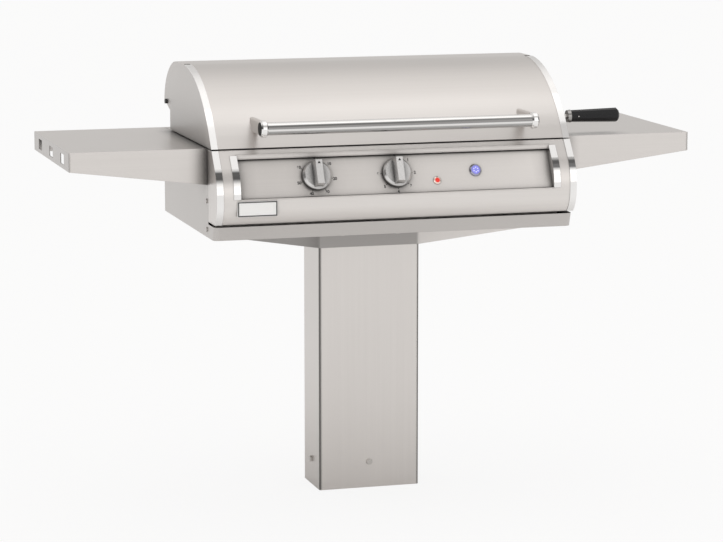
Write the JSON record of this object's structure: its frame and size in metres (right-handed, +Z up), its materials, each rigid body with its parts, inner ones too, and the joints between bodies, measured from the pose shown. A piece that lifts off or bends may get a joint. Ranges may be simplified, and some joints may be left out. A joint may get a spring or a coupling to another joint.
{
  "type": "pedestal grill",
  "caption": "Electric park grill on a rectangular post, with a hinged hood, bar handle, two rotary controls, push button, lamp and side shelves",
  "frame": {"origin": "middle of the post's foot, on the ground", "axes": "+Z up, +X to the right seen from the front, -Y towards the person who cooks"},
  "size_m": [1.324, 0.503, 0.9092],
  "materials": {
    "satin_stainless": "brushed, satin",
    "bright_stainless": "polished",
    "cast_knob": "satin plated casting",
    "stainless_fastener": "machined",
    "inner_stainless": "mill finish, heat tinted",
    "zinc_steel": "zinc plated",
    "cooking_bars": "polished rod",
    "element_sheath": "oxidised nickel alloy",
    "dark_metal": "blackened",
    "grip_plastic": "moulded phenolic",
    "control_plastic": "moulded",
    "ceramic": "glazed ceramic",
    "red_lens": "translucent, lit",
    "blue_lens": "translucent, lit",
    "black_rubber": "moulded"
  },
  "bodies": {
    "root": {"post": "satin_stainless", "head_bracket_front": "satin_stainless", "head_bracket_rear": "satin_stainless", "outer_shell": "satin_stainless", "shelf_left": "satin_stainless", "shelf_right": "satin_stainless", "control_housing": "satin_stainless", "control_panel": "satin_stainless", "housing_trim_left": "bright_stainless", "housing_trim_right": "bright_stainless", "recess_trim_left": "bright_stainless", "recess_trim_right": "bright_stainless", "blank_plate": "bright_stainless", "button_bezel": "bright_stainless", "lamp_bezel": "bright_stainless", "post_bolts": "stainless_fastener", "head_bolts": "stainless_fastener", "shell_bolts": "stainless_fastener", "shelf_bolts": "stainless_fastener", "side_screws": "stainless_fastener", "hinge_screws": "stainless_fastener", "firebox": "inner_stainless", "heat_shield": "inner_stainless", "drip_tray": "inner_stainless", "element_supports": "inner_stainless", "hinge_brackets": "inner_stainless", "base_bracket": "zinc_steel", "post_cap": "zinc_steel", "power_box": "zinc_steel", "cooking_grid_left": "cooking_bars", "cooking_grid_right": "cooking_bars", "heating_element": "element_sheath", "thermostat_probe": "element_sheath", "hinge_pins": "dark_metal", "timer_body": "control_plastic", "thermostat_body": "control_plastic", "button_switch": "control_plastic", "cable_gland": "control_plastic", "element_plug": "ceramic", "lamp_lens": "red_lens", "hood_bumpers": "black_rubber"},
    "hood": {"hood_skin": "satin_stainless", "hood_side_left": "satin_stainless", "hood_side_right": "satin_stainless", "hood_liner": "inner_stainless", "hood_trim_left": "bright_stainless", "hood_trim_right": "bright_stainless", "handle_tube": "bright_stainless", "handle_caps": "bright_stainless", "handle_arms": "satin_stainless", "handle_screws": "stainless_fastener", "side_handle_stud": "stainless_fastener", "side_handle_ferrule": "bright_stainless", "side_handle_grip": "grip_plastic", "side_handle_pin": "stainless_fastener"},
    "timer": {"timer_knob": "cast_knob", "timer_shaft": "stainless_fastener"},
    "thermostat": {"thermostat_knob": "cast_knob", "thermostat_shaft": "stainless_fastener"},
    "button": {"button_cap": "blue_lens"}
  },
  "joints": [
    {"name": "hood_hinge", "type": "hinge", "parent": "root", "child": "hood", "pos_m": [0, 0.173, 0.816], "axis": [-1, 0, 0], "range_deg": [0, 80]},
    {"name": "timer_turn", "type": "hinge", "parent": "root", "child": "timer", "pos_m": [-0.169, -0.25605, 0.7005], "axis": [0, 0.9063, -0.4226], "range_deg": [0, 300]},
    {"name": "thermostat_turn", "type": "hinge", "parent": "root", "child": "thermostat", "pos_m": [0, -0.25605, 0.7005], "axis": [0, 0.9063, -0.4226], "range_deg": [0, 270]},
    {"name": "button_press", "type": "slide", "parent": "root", "child": "button", "axis": [0, 0.9063, -0.4226], "range_m": [0, 0.0025], "stiffness_N_per_m": 800}
  ]
}
